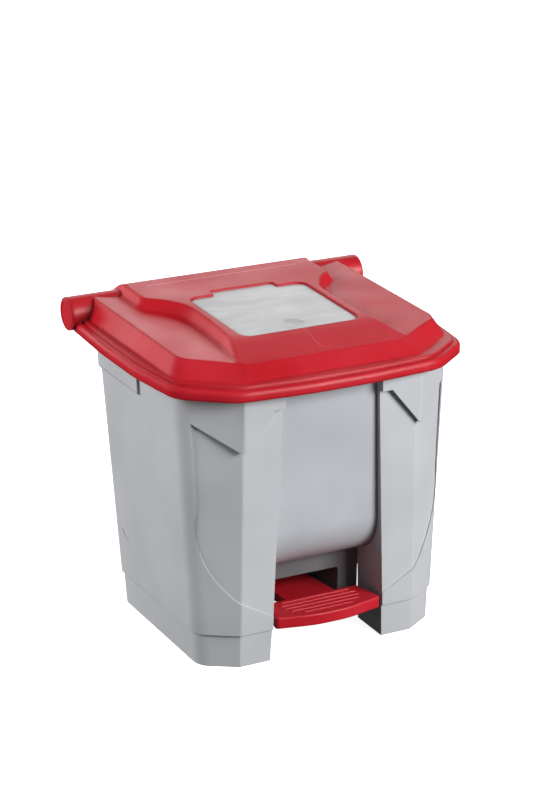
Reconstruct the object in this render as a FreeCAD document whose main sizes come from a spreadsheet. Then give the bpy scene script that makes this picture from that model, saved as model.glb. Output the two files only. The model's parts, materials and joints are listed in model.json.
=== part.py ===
"""Pedal-operated waste can with a push flap in its lid.

Millimetres. +X is the user's right, +Y points to the rear, +Z is up. The origin is on the floor,
at the centre of the can's overall box. Every sub-part is one object of the document.
"""
import FreeCAD, Part
import math
import os
import Sketcher
from FreeCAD import Placement, Rotation, Vector

X_AXIS = Vector(1, 0, 0)
Y_AXIS = Vector(0, 1, 0)
Z_AXIS = Vector(0, 0, 1)

# alias: (value, what it is). Lengths in mm, angles in degrees, leans as mm of offset per mm of height.
DRIVING = {
    "WallThick": (3.0, "moulded wall of housing, bucket and lid"),
    "BodyHalf": (175.0, "housing half width at the floor"),
    "BodyLean": (0.055, "outward lean of the side walls"),
    "BodyFront": (161.4, "distance from the origin to the front wall at the floor"),
    "FrontLean": (0.011, "outward lean of the front wall"),
    "BodyRear": (102.0, "distance from the origin to the rear wall at the floor"),
    "RearLean": (0.0875, "backward lean of the rear wall"),
    "FacetFront": (127.0, "half width of the flat front, where the corner facets start"),
    "FacetSide": (132.5, "distance from the origin to where a facet meets the side wall, at the floor"),
    "FacetLean": (0.047, "how that line moves back with height"),
    "RimHeight": (372.0, "top of the housing"),
    "PlinthHeight": (45.0, "height of the set-back plinth"),
    "PlinthInset": (3.0, "how far the plinth is set back"),
    "SlotHalf": (82.6, "half width of the front slot at the floor"),
    "SlotLean": (0.037, "how the slot narrows with height"),
    "SlotTop": (362.0, "top of the front slot, under the rim bridge"),
    "PanelTopRecess": (9.0, "depth of the corner panels at the rim"),
    "PanelLowRecess": (0.5, "depth of the corner panels at the plinth"),
    "BucketFront": (149.5, "distance from the origin to the bucket's front"),
    "BucketFloor": (105.5, "underside of the bucket"),
    "BucketTop": (366.0, "top of the bucket's rim"),
    "BucketRound": (65.0, "radius of the bucket's front lower edge"),
    "DeckTop": (105.0, "top face of the deck that carries the bucket"),
    "DeckThick": (3.0, "thickness of the deck"),
    "DeckFront": (97.0, "distance from the origin to the deck's front wall"),
    "ArchHalf": (50.0, "half width of the lever arch in the deck's front wall"),
    "ArchTop": (81.0, "top of the lever arch"),
    "HingeY": (166.0, "lid hinge axis, behind the origin"),
    "HingeZ": (391.0, "lid hinge axis, above the floor"),
    "RollRadius": (22.5, "outer radius of the hinge knuckles and of the rolled rear edge"),
    "KnuckleEnd": (218.0, "outer end of each hinge knuckle"),
    "KnuckleStart": (188.0, "inner end of each hinge knuckle"),
    "PinRadius": (7.95, "hinge pin shank"),
    "PinBore": (8.0, "bore of the hinge lugs"),
    "PinHead": (20.3, "hinge pin head"),
    "PinHeadThick": (4.0, "thickness of the hinge pin head"),
    "LugInner": (175.0, "inner face of each hinge lug"),
    "LugOuter": (186.0, "outer face of each hinge lug"),
    "SkirtBottom": (370.0, "lower edge of the lid skirt"),
    "SkirtTop": (383.5, "top of the lid skirt's rolled edge"),
    "LandTop": (387.0, "land between skirt and crown"),
    "CrankRadius": (25.0, "hinge axis to crank pin"),
    "CrankStart": (215.0, "direction of the crank pin with the lid shut"),
    "CrankPinRadius": (3.0, "crank pin"),
    "RodLean": (5.0, "backward lean of the push rod"),
    "RodRadius": (3.0, "push rod"),
    "RodOffset": (22.0, "hinge axis to the push rod's line"),
    "PivotY": (-35.0, "lever pivot, along Y"),
    "PivotZ": (40.0, "lever pivot, above the floor"),
    "PivotRadius": (5.0, "lever pivot pin"),
    "PivotBore": (5.05, "bore of the lever hub and of the deck ribs"),
    "PivotHalf": (60.0, "half length of the lever pivot pin"),
    "PadTop": (60.0, "top of the pedal pad"),
    "PadBottom": (45.0, "lower edge of the pedal pad"),
    "FlapHalf": (85.0, "half width of the flap"),
    "FlapFront": (78.0, "distance from the origin to the flap's front edge"),
    "FlapRear": (77.0, "rear edge of the flap beside its tab"),
    "TabHalf": (46.0, "half width of the flap's hinge tab"),
    "TabRear": (91.0, "rear edge of the flap's hinge tab"),
    "FlapGap": (1.2, "gap all round the flap"),
    "FlapThick": (3.0, "flap panel"),
    "FlapAxisY": (83.0, "flap pivot, along Y"),
    "FlapAxisZ": (410.3, "flap pivot, above the floor"),
    "FlapRodRadius": (2.0, "flap pivot rod"),
    "FlapRodHalf": (54.5, "half length of the flap pivot rod"),
}


def start_document():
    """The document and its sheet, with one aliased cell for each driving dimension."""
    document = FreeCAD.newDocument("PedalCan")
    sheet = document.addObject("Spreadsheet::Sheet", "Dimensions")
    for row, (alias, (value, note)) in enumerate(DRIVING.items(), start=1):
        sheet.set(f"A{row}", alias)
        sheet.set(f"B{row}", str(value))
        sheet.set(f"C{row}", note)
        sheet.setAlias(f"B{row}", alias)
    document.recompute()
    return document, sheet


DOC, SHEET = start_document()


def size(alias):
    """The value of a driving dimension, read back from the sheet."""
    return float(SHEET.get(alias))


# ---------------------------------------------------------------- outlines


def inset_polygon(points, distance):
    """A counter-clockwise polygon with every edge moved inward by distance."""
    count = len(points)
    moved = []
    for k in range(count):
        (ax, ay), (bx, by), (cx, cy) = points[k - 1], points[k], points[(k + 1) % count]
        first = Vector(bx - ax, by - ay, 0).normalize()
        second = Vector(cx - bx, cy - by, 0).normalize()
        left_a = Vector(-first.y, first.x, 0)
        left_b = Vector(-second.y, second.x, 0)
        bisector = left_a + left_b
        scale = distance / (1 + left_a.dot(left_b))
        moved.append((bx + bisector.x * scale, by + bisector.y * scale))
    return moved


def rounded_edges(points, radii):
    """Lines and tangent arcs round a closed polygon of Vectors that lie in one plane."""
    count = len(points)
    tangents = []
    for k in range(count):
        corner = points[k]
        back = (points[k - 1] - corner).normalize()
        ahead = (points[(k + 1) % count] - corner).normalize()
        half = back.getAngle(ahead) / 2
        reach = radii[k] / math.tan(half)
        bisector = (back + ahead).normalize()
        centre = corner + bisector * (radii[k] / math.sin(half))
        middle = centre - bisector * radii[k]
        tangents.append((corner + back * reach, middle, corner + ahead * reach))
    edges = []
    for k in range(count):
        start, middle, end = tangents[k]
        edges.append(Part.Arc(start, middle, end).toShape())
        edges.append(Part.LineSegment(end, tangents[(k + 1) % count][0]).toShape())
    return edges


def rounded_wire(points, radii, z):
    """A closed wire at height z with its corners rounded."""
    return Part.Wire(rounded_edges([Vector(x, y, z) for x, y in points], radii))


def loft(*wires):
    """A closed solid ruled from wire to wire."""
    return Part.makeLoft(list(wires), True, True)


def upright(outline, low, high):
    """A straight prism from an outline that takes its height as its last value."""
    return Part.Face(outline(low)).extrude(Vector(0, 0, high - low))


def mirrored_outline(half_points):
    """A counter-clockwise outline from its right half, listed from the front to the rear."""
    left = [(-x, y) for x, y in reversed(half_points)]
    return left + list(half_points)


def prism_x(points, low, high):
    """A YZ polygon run along X."""
    face = Part.Face(Part.makePolygon([Vector(low, y, z) for y, z in [*points, points[0]]]))
    return face.extrude(Vector(high - low, 0, 0))


def prism_y(points, low, high):
    """An XZ polygon run along Y."""
    face = Part.Face(Part.makePolygon([Vector(x, low, z) for x, z in [*points, points[0]]]))
    return face.extrude(Vector(0, high - low, 0))


def prism_z(points, low, high):
    """A prism along Z from (x, y) corners."""
    corners = [Vector(x, y, low) for x, y in points]
    face = Part.Face(Part.makePolygon([*corners, corners[0]]))
    return face.extrude(Vector(0, 0, high - low))


def block(low, high):
    """A box from its lowest to its highest corner."""
    spans = [b - a for a, b in zip(low, high)]
    return Part.makeBox(*spans, Vector(*low))


def both_sides(shape):
    """A shape on the right and its mirror image on the left."""
    return [shape, shape.mirror(Vector(0, 0, 0), X_AXIS)]


def merge(shapes):
    """One solid from shapes that touch or overlap."""
    first, *others = shapes
    return first.fuse(others).removeSplitter()


def rod_x(y, z, radius, low, high):
    """A cylinder along X."""
    return Part.makeCylinder(radius, high - low, Vector(low, y, z), X_AXIS)


# ---------------------------------------------------------------- housing

REAR_CORNER = 22.0
SOFT_CORNER = 30.0
CRISP_CORNER = 6.0
BELOW = -5.0
PANEL_SIDE_SHARE = 0.2
APRON_TURN = 0.35
APRON_FRONT = -60.0


def housing_outline(z, inset, sunk=0.0):
    """The housing's plan at height z, set in by inset; sunk lowers its facets' front edges further."""
    half = size("BodyHalf") + size("BodyLean") * z
    front = -size("BodyFront") - size("FrontLean") * z
    rear = size("BodyRear") + size("RearLean") * z
    shoulder = -size("FacetSide") + size("FacetLean") * z
    right = [(size("FacetFront"), front), (half, shoulder), (half, rear)]
    deep = inset_polygon(mirrored_outline(right), inset + sunk)
    shallow = inset_polygon(mirrored_outline(right), inset + PANEL_SIDE_SHARE * sunk)
    corners = mirrored_outline([deep[3], shallow[4], shallow[5]])
    radii = [CRISP_CORNER, SOFT_CORNER, REAR_CORNER]
    radii = [max(r - inset, 1.0) for r in radii[::-1] + radii]
    return rounded_wire(corners, radii, z)


def panel_region(grow):
    """The corner panels as seen from the front: a V at the top, a long curve outside and below."""
    point = lambda x, z: Vector(x, -260, z)
    edges = [
        Part.LineSegment(point(50, 346), point(84, 346)),
        Part.LineSegment(point(84, 346), point(127.5, 294)),
        Part.LineSegment(point(127.5, 294), point(181.5, 331)),
        Part.LineSegment(point(181.5, 331), point(175.5, 215)),
        Part.Arc(point(175.5, 215), point(164, 137), point(128, 90)),
        Part.LineSegment(point(128, 90), point(50, 46.5)),
        Part.LineSegment(point(50, 46.5), point(50, 346)),
    ]
    face = Part.Face(Part.Wire([e.toShape() for e in edges]))
    if grow:
        face = face.makeOffset2D(grow)
    return face.extrude(Vector(0, 220, 0))


def housing_form(inset, low, high):
    """The housing's outer form set in by inset, with its corner panels sunk, from low to high."""
    full = loft(housing_outline(low, inset), housing_outline(high, inset))
    low_depth, high_depth = size("PanelLowRecess"), size("PanelTopRecess")
    low_plan = housing_outline(size("PlinthHeight"), inset, low_depth)
    high_plan = housing_outline(size("RimHeight"), inset, high_depth)
    sunk = loft(low_plan, high_plan)
    panels = [side.cut(sunk) for side in both_sides(panel_region(inset))]
    return full.cut(panels)


def slot_half(z):
    return size("SlotHalf") - size("SlotLean") * z


def front_slot():
    """The opening between the front legs, from the floor to the rim bridge."""
    top = size("SlotTop")
    corners = [
        (-slot_half(BELOW), BELOW),
        (slot_half(BELOW), BELOW),
        (slot_half(top), top),
        (-slot_half(top), top),
    ]
    return prism_y(corners, -260, -110)


def slot_fins():
    """Walls that return from the slot's edges and follow the bucket's front and lower edge."""
    clear = 1.0
    thick = size("WallThick")
    top = size("SlotTop")
    face_y = -size("BucketFront") - clear
    radius = size("BucketRound") + clear
    centre_y = -size("BucketFront") + size("BucketRound")
    centre_z = size("BucketFloor") + size("BucketRound")
    deck_y = -size("DeckFront") - 0.2
    bend = math.acos((deck_y - centre_y) / radius)
    turn = lambda a: Vector(50, centre_y + radius * math.cos(a), centre_z - radius * math.sin(a))
    start, middle, end = turn(math.pi), turn((math.pi + bend) / 2), turn(bend)
    corners = [
        end,
        Vector(50, deck_y, 0),
        Vector(50, -200, 0),
        Vector(50, -200, top),
        Vector(50, face_y, top),
        start,
    ]
    edges = [Part.LineSegment(a, b).toShape() for a, b in zip(corners, corners[1:])]
    edges.append(Part.Arc(start, middle, end).toShape())
    profile = Part.Face(Part.Wire(edges)).extrude(Vector(60, 0, 0))
    slab = prism_y(
        [
            (slot_half(0), 0),
            (slot_half(0) + thick, 0),
            (slot_half(top) + thick, top),
            (slot_half(top), top),
        ],
        -210,
        -60,
    )
    return both_sides(profile.common(slab))


def hinge_lug():
    """The right-hand lug that carries a hinge pin, growing out of the rear wall."""
    low, high = size("LugInner"), size("LugOuter")
    y, z = size("HingeY"), size("HingeZ")
    wall_y = size("BodyRear") + size("RearLean") * 360 - 2
    arm = [(wall_y, 371.5), (wall_y + 6, 380), (y - 7, z + 8), (y + 5, z - 9.5), (wall_y, 350)]
    return prism_x(arm, low, high).fuse(rod_x(y, z, 11.0, low, high))


def side_apron():
    """A shallow raised apron low on the right side wall, which fades out towards the front."""
    outline = [(-100, 46), (66, 46), (72, 52), (76, 112), (68, 104), (60, 100), (-100, 100)]
    proud = loft(housing_outline(45, 0.1), housing_outline(130, 0.1))
    proud.rotate(Vector(size("BodyHalf") + 0.5, APRON_FRONT, 0), Z_AXIS, -APRON_TURN)
    return prism_x(outline, 150, 230).common(proud)


def make_housing():
    thick, plinth, rim = size("WallThick"), size("PlinthHeight"), size("RimHeight")
    step = size("PlinthInset")
    outer = housing_form(0, plinth, rim)
    foot = loft(housing_outline(0, step), housing_outline(plinth, step))
    apron = both_sides(side_apron())
    flange = loft(housing_outline(rim - 6, -4), housing_outline(rim, -4))
    solid = merge([outer, foot, flange, *apron])
    cavity = housing_form(thick, plinth + thick, rim + 1)
    foot_inset = step + thick
    foot_cavity = loft(housing_outline(BELOW, foot_inset), housing_outline(plinth + thick + 1, foot_inset))
    shell = solid
    for hollow in (cavity, foot_cavity, front_slot()):
        shell = shell.cut(hollow)
    fins = [fin.common(merge([outer, foot])) for fin in slot_fins()]
    rails = [
        r.common(merge([outer, foot]))
        for r in both_sides(block((161, -96, size("DeckTop") - 13), (190, 96, size("DeckTop") - 3)))
    ]
    lugs = both_sides(hinge_lug())
    shell = merge([shell, *fins, *rails, *lugs])
    bores = [rod_x(size("HingeY"), size("HingeZ"), size("PinBore"), -200, 200)]
    tail_gate = block((-24, 80, 8), (24, 130, 68))
    rod_notch = block((-22, 110, 350), (22, 160, rim + 5))
    screw_holes = [*deck_screw_holes(), *cover_screw_holes(), *guide_screw_holes()]
    for cutter in (*bores, tail_gate, rod_notch, *screw_holes):
        shell = shell.cut(cutter)
    return shell


# ---------------------------------------------------------------- screws and their holes

DECK_SCREWS = [(166, -70), (166, 70), (-166, -70), (-166, 70)]
COVER_SCREW_X = 30.0
COVER_SCREW_Z = [72.0, 205.0, 338.0]
GUIDE_LEVELS = [110.0, 322.0]
GUIDE_SCREW_X = 12.0
SCREW_RADIUS = 2.0


def rear_wall_y(z):
    return size("BodyRear") + size("RearLean") * z


def rear_normal():
    return Vector(0, 1, -size("RearLean")).normalize()


def deck_screw_holes():
    top = size("DeckTop")
    return [Part.makeCylinder(SCREW_RADIUS, 20, Vector(x, y, top - 15), Z_AXIS) for x, y in DECK_SCREWS]


def rear_hole(x, z, radius):
    """A hole through the rear wall, square to it."""
    return Part.makeCylinder(radius, 12, Vector(x, rear_wall_y(z), z) - rear_normal() * 6, rear_normal())


def cover_screw_places():
    return [(side * COVER_SCREW_X, z) for side in (-1, 1) for z in COVER_SCREW_Z]


def cover_screw_holes():
    return [rear_hole(x, z, SCREW_RADIUS) for x, z in cover_screw_places()]


def guide_screw_holes():
    return [rear_hole(side * GUIDE_SCREW_X, z, SCREW_RADIUS) for side in (-1, 1) for z in GUIDE_LEVELS]


def screw(head_radius, head_thick, length):
    """A cross-recess screw along -Z with its head's underside at the origin."""
    head = Part.makeCylinder(head_radius, head_thick)
    upper_edges = [e for e in head.Edges if e.BoundBox.ZMin > head_thick - 0.1]
    head = head.makeFillet(head_thick * 0.45, upper_edges)
    shank = Part.makeCylinder(SCREW_RADIUS, length, Vector(0, 0, -length))
    arm = head_radius * 0.55
    recess = [
        block((-arm, -0.45, head_thick - 0.9), (arm, 0.45, head_thick + 1)),
        block((-0.45, -arm, head_thick - 0.9), (0.45, arm, head_thick + 1)),
    ]
    return head.fuse(shank).cut(recess)


def placed(shape, position, direction):
    """A copy of a shape made along +Z, turned to a direction and moved."""
    copy = shape.copy()
    copy.Placement = Placement(position, Rotation(Z_AXIS, direction))
    return copy


def make_deck_screws():
    one = screw(4.2, 2.2, 11.5)
    return Part.Compound([placed(one, Vector(x, y, size("DeckTop")), Z_AXIS) for x, y in DECK_SCREWS])


def make_cover_screws():
    one = screw(3.8, 2.0, 5.0)
    lift = rear_normal() * (COVER_THICK + CONTACT_GAP)
    places = [Vector(x, rear_wall_y(z), z) + lift for x, z in cover_screw_places()]
    return Part.Compound([placed(one, p, rear_normal()) for p in places])


# ---------------------------------------------------------------- deck, bucket, rear cover

COVER_THICK = 2.0
COVER_DEPTH = 24.0
COVER_LOW = 50.0
COVER_HIGH = 350.0
CONTACT_GAP = 0.05


def make_deck():
    """The deck under the bucket: plate, front wall with the lever arch, and two ribs for the pivot."""
    top, thick = size("DeckTop"), size("DeckThick")
    front = -size("DeckFront")
    plate = block((-171, front, top - thick), (171, 96, top))
    wall_half = slot_half(60) - 1.2
    wall = block((-wall_half, front, 12), (wall_half, front + thick, top))
    arch = block((-size("ArchHalf"), front - 5, 0), (size("ArchHalf"), front + 10, size("ArchTop")))
    wall = wall.cut(arch)
    arch_edges = [e for e in wall.Edges if abs(e.BoundBox.ZMin - size("ArchTop")) < 0.1]
    edges = [e for e in arch_edges if e.BoundBox.YLength > 2]
    if edges:
        wall = wall.makeFillet(4, edges)
    rib = [(front + thick, 14), (60, 14), (90, 70), (90, top - thick), (front + thick, top - thick)]
    ribs = both_sides(prism_x(rib, size("ArchHalf"), size("ArchHalf") + thick))
    deck = merge([plate, wall, *ribs])
    bore = rod_x(size("PivotY"), size("PivotZ"), size("PivotRadius"), -80, 80)
    holes = [Part.makeCylinder(SCREW_RADIUS, 20, Vector(x, y, top - 10), Z_AXIS) for x, y in DECK_SCREWS]
    return deck.cut([bore, *holes])


def bucket_form(inset, high):
    """The bucket's form: a tapered tub whose front lower edge is a large round."""
    low = size("BucketFloor") + inset
    front = -size("BucketFront") + inset

    def outline(z):
        half = 150 + 0.085 * (z - 100) - inset
        rear = 96 + 0.09 * (z - 100) - inset
        right = [(half - 46, front), (half, front + 34), (half, rear)]
        radii = [40.0, 40.0, 30.0]
        return rounded_wire(mirrored_outline(right), radii[::-1] + radii, z)

    tub = loft(outline(low), outline(high))
    radius = size("BucketRound") - inset
    full_round = size("BucketRound")
    centre = Vector(-260, full_round - size("BucketFront"), full_round + size("BucketFloor"))
    arc = [
        centre + Vector(0, -radius * math.cos(a), -radius * math.sin(a))
        for a in (0, math.pi / 4, math.pi / 2)
    ]
    corners = [arc[2], Vector(-260, 150, low), Vector(-260, 150, high), Vector(-260, front, high), arc[0]]
    edges = [Part.LineSegment(a, b).toShape() for a, b in zip(corners, corners[1:])]
    edges.append(Part.Arc(*arc).toShape())
    rounding = Part.Face(Part.Wire(edges)).extrude(Vector(520, 0, 0))
    side_round = 28.0 - inset
    foot = 148 - inset
    sides = [
        Vector(-foot + side_round, -200, low),
        Vector(foot - side_round, -200, low),
        Vector(foot + 20, -200, low + side_round + 18),
        Vector(foot + 26, -200, high),
        Vector(-foot - 26, -200, high),
        Vector(-foot - 20, -200, low + side_round + 18),
    ]
    radii = [40.0, 40.0, 40.0, 1.0, 1.0, 40.0]
    cross = Part.Face(Part.Wire(rounded_edges(sides, radii))).extrude(Vector(0, 360, 0))
    return tub.common(rounding).common(cross)


def make_bucket():
    """The lift-out bucket with a turned-out rim and two finger recesses."""
    thick, top = size("WallThick") - 0.5, size("BucketTop")
    outer = bucket_form(0, top)
    rim_face = max(outer.Faces, key=lambda f: f.CenterOfMass.z)
    rim = rim_face.OuterWire.makeOffset2D(6)
    collar = Part.Face(rim).extrude(Vector(0, 0, -4))
    body = merge([outer, collar]).cut(bucket_form(thick, top + 1))
    grips = both_sides(block((160, -28, top - 9), (230, 52, top - 3.9)))
    return body.cut(grips)


def rear_frame(shape):
    """Moves a shape made on the XY plane (X right, Y up the wall, Z out of it) onto the rear wall."""
    normal = rear_normal()
    up = Vector(0, size("RearLean"), 1).normalize()
    right = up.cross(normal)
    matrix = FreeCAD.Matrix(
        right.x, up.x, normal.x, 0,
        right.y, up.y, normal.y, rear_wall_y(0),
        right.z, up.z, normal.z, 0,
        0, 0, 0, 1,
    )
    return shape.transformed(matrix, True)


def up_wall(z):
    """Distance up the rear wall to height z."""
    return z * math.hypot(1, size("RearLean"))


def make_rear_cover():
    """The channel that covers the push rod on the rear wall, with a screw flange on each side."""
    low, high = up_wall(COVER_LOW), up_wall(COVER_HIGH)
    gap, thick, depth = CONTACT_GAP, COVER_THICK, COVER_DEPTH
    flange = block((-38, low, gap), (38, high, gap + thick))
    duct = block((-23, low, gap), (23, high, depth))
    outer_edges = [e for e in duct.Edges if e.BoundBox.ZMin > depth - 0.1 and e.BoundBox.YLength > 50]
    duct = duct.makeFillet(5, outer_edges)
    bore = block((-21, low - 1, gap - 1), (21, high + 1, depth - thick))
    cover = merge([flange, duct]).cut(bore)
    holes = [
        Part.makeCylinder(SCREW_RADIUS, 10, Vector(x, up_wall(z), -2), Z_AXIS)
        for x, z in cover_screw_places()
    ]
    return rear_frame(cover.cut(holes))


# ---------------------------------------------------------------- carry grips


def make_grip(side):
    """A carry grip under the rim: a strip with a sloped finger edge that stands out of the side wall."""
    lean = size("BodyLean")
    face = lambda z: size("BodyHalf") + lean * z
    rows = [(331, 0.1), (331, 2.4), (334, 3.6), (353, 3.6), (355, 0.1)]
    outline = [Vector(face(z) + out, -4, z) for z, out in rows]
    grip = Part.Face(Part.makePolygon([*outline, outline[0]])).extrude(Vector(0, 119, 0))
    return grip if side > 0 else grip.mirror(Vector(0, 0, 0), X_AXIS)


# ---------------------------------------------------------------- lid

CROWN_TOP = 430.0
PLATEAU_SLOPE = 0.0225
PLATEAU_LEVEL = 417.95
RAMP_SLOPE = 0.218
SKIRT_ROLL = 6.0
PLATEAU_ROUND = 5.0
BROW_REACH = 16.0


def plateau_z(y):
    return PLATEAU_LEVEL + PLATEAU_SLOPE * y


def skirt_outline(inset, z):
    """The lid's plan at the skirt: bowed front and sides, with facets blended into the front corners."""
    right = [(48, -188.5), (145, -180.5), (207, -134), (218.45, -40), (218.45, 60), (213, 158)]
    radii = [400.0, 60.0, 45.0, 300.0, 400.0, 4.0]
    radii = [max(r - inset, 1.0) for r in radii[::-1] + radii]
    return rounded_wire(inset_polygon(mirrored_outline(right), inset), radii, z)


def skirt_solid(inset, low):
    """The skirt filled solid, with its upper edge rolled over."""
    top = size("SkirtTop") - inset
    solid = upright(lambda level: skirt_outline(inset, level), low, top)
    upper = [e for e in solid.Edges if e.BoundBox.ZMin > top - 0.1 and e.BoundBox.YMin < 150 - inset]
    return solid.makeFillet(SKIRT_ROLL - inset, upper)


def crown_walls(inset, low):
    """The crown's side walls, ruled from the crease up past the top."""
    rear = size("HingeY")
    base = [(126, -164), (197, -108), (197, rear)]
    top = [(86, -99.5), (171.6, -98.2), (174.6, rear)]
    radii = [10.0, 26.0, 6.0]
    radii = [max(r - inset, 1.0) for r in radii[::-1] + radii]
    crease = inset_polygon(mirrored_outline(base), inset)
    upper = inset_polygon(mirrored_outline(top), inset)
    skirt = upright(lambda level: rounded_wire(crease, radii, level), low, size("LandTop") - inset * 0.6)
    walls = loft(
        rounded_wire(crease, radii, size("LandTop") - inset * 0.6),
        rounded_wire(upper, radii, CROWN_TOP),
    )
    return merge([skirt, walls])


def under_side_panels(drop):
    """Everything below the two side panels, which fall gently inwards and forwards."""

    def section(y):
        edge = 409 + 0.085 * (230 - 184) + 0.011 * (y + 103) - drop
        middle = 409 + 0.085 * (60 - 184) + 0.011 * (y + 103) - drop
        corners = [(-230, 300), (230, 300), (230, edge), (60, middle), (-60, middle), (-230, edge)]
        return Part.makePolygon([Vector(x, y, z) for x, z in [*corners, corners[0]]])

    return loft(section(-230), section(230))


def brow_crest(brow, start, end):
    """The middle of the arc that rounds a corner between two tangent points at equal reach."""
    half_turn = (math.pi - (start - brow).getAngle(end - brow)) / 2
    radius = BROW_REACH / math.tan(half_turn)
    inwards = ((start - brow) + (end - brow)).normalize()
    return brow + inwards * radius * (1 / math.cos(half_turn) - 1)


def plateau(drop, inset):
    """The raised centre of the lid, wide behind the flap and narrow beside it, with a front ramp."""
    right = [(117, -152), (100, -66), (97, -16), (97, 52), (118, 84), (140, 100), (140, 200)]
    radii = [1.0, 60.0, 60.0, 60.0, 30.0, 20.0, 1.0]
    radii = radii[::-1] + radii
    outline = mirrored_outline(right)
    low = rounded_wire(inset_polygon(outline, inset - 13.75), radii, 395)
    high = rounded_wire(inset_polygon(outline, inset + 6.25), radii, 427)
    block_form = loft(low, high)
    ramp_y = -size("FlapFront")
    flat = plateau_z(ramp_y) - drop
    rear_y = 158.0
    at = lambda y, z: Vector(-200, y, z)
    ramp_foot = at(-180, flat - RAMP_SLOPE * (180 + ramp_y))
    brow, rear_top = at(ramp_y, flat), at(rear_y, plateau_z(rear_y) - drop)
    brow_start = brow + (ramp_foot - brow).normalize() * BROW_REACH
    brow_end = brow + (rear_top - brow).normalize() * BROW_REACH
    under = [at(184 - drop, 404), at(184 - drop, 330), at(-180, 330), ramp_foot, brow_start]
    edges = [Part.LineSegment(a, b).toShape() for a, b in zip(under, under[1:])]
    edges.append(Part.Arc(brow_start, brow_crest(brow, brow_start, brow_end), brow_end).toShape())
    edges.append(Part.LineSegment(brow_end, rear_top).toShape())
    edges.append(Part.Arc(rear_top, at(175 - drop, 416.5 - drop), under[0]).toShape())
    profile = Part.Face(Part.Wire(edges)).extrude(Vector(400, 0, 0))
    return block_form.common(profile)


def below_plateau(shape, drop):
    """The part of a shape that lies below the plateau's plane lowered by drop."""
    low, high = -120.0, 178.0
    corners = [(low, 300), (high, 300), (high, plateau_z(high) - drop), (low, plateau_z(low) - drop)]
    return shape.common(prism_x(corners, -250, 250))


def rolled_edge(radius, half, reach):
    """The rear edge rolled round the hinge axis, from its front shoulder to below the axis behind."""
    y, z = size("HingeY"), size("HingeZ")
    roll = rod_x(y, z, radius, -half, half)
    kept = [(y - 12, z + 40), (y - 12, z + 8), (y + 3, z - reach), (y + 40, z - reach), (y + 40, z + 40)]
    keep = prism_x(kept, -half - 5, half + 5)
    return roll.common(keep)


def edge_middle(edge):
    return edge.valueAt((edge.FirstParameter + edge.LastParameter) / 2)


def edge_turn(shape, edge):
    """The angle between the two faces that meet at an edge, in degrees."""
    point = edge_middle(edge)
    faces = [face for face in shape.Faces if any(other.isSame(edge) for other in face.Edges)]
    if len(faces) < 2:
        return 0.0
    normals = [face.normalAt(*face.Surface.parameter(point)) for face in faces[:2]]
    return math.degrees(normals[0].getAngle(normals[1]))


def sharp_edges(shape, wanted):
    """The creases in the front of the crown whose middle point is wanted."""
    middles = [(edge, edge_middle(edge)) for edge in shape.Edges]
    near = [edge for edge, point in middles if point.z > 396 and point.y < 160 and wanted(edge, point)]
    return [edge for edge in near if edge_turn(shape, edge) > 12]


def at_foot(edge, point):
    inside = abs(point.x) <= 150 and point.y >= -125
    return inside and point.z < 412 and edge.BoundBox.ZLength < 4


def at_brow(_, point):
    return point.z > 415.5 and abs(point.x) > 90


def rounded_crown(inset):
    """The crown with the foot and the brow of its plateau rounded."""
    form = merge([under_side_panels(inset), plateau(inset, inset)])
    crown = crown_walls(inset, size("SkirtBottom")).common(form)
    crown = max(crown.removeSplitter().Solids, key=lambda solid: solid.Volume)
    crown = crown.makeFillet(PLATEAU_ROUND, sharp_edges(crown, at_foot))
    return crown.makeFillet(PLATEAU_ROUND, sharp_edges(crown, at_brow))


def lid_parts(inset, low):
    """The solids that make up the lid's outer form, set in by inset."""
    skirt = skirt_solid(inset, low)
    land = upright(lambda level: skirt_outline(10 + inset, level), low, size("LandTop") - inset)
    if inset == 0:
        crown = rounded_crown(inset)
    else:
        crown = crown_walls(inset, low).common(merge([under_side_panels(inset), plateau(inset, inset)]))
    radius = size("RollRadius") - inset
    rear_plateau = plateau(inset, inset).common(block((-200, size("HingeY") - 8, 398), (200, 230, 440)))
    roll = rolled_edge(radius, size("KnuckleStart") - inset, 2.0 if inset == 0 else 12.0)
    return [skirt, land, crown, roll, rear_plateau]


def flap_outline(grow, z):
    """The flap's plan: a rounded panel with a hinge tab at the rear."""
    points = [
        (size("FlapHalf"), -size("FlapFront")),
        (size("FlapHalf"), size("FlapRear")),
        (size("TabHalf"), size("FlapRear")),
        (size("TabHalf"), size("TabRear")),
    ]
    radii = [14.0, 14.0, 2.0, 5.0]
    grown_radii = [14.0 + grow, 14.0 + grow, max(2.0 - grow, 0.6), 5.0 + grow]
    radii = grown_radii if grow else radii
    return rounded_wire(inset_polygon(mirrored_outline(points), -grow), radii[::-1] + radii, z)


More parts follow.
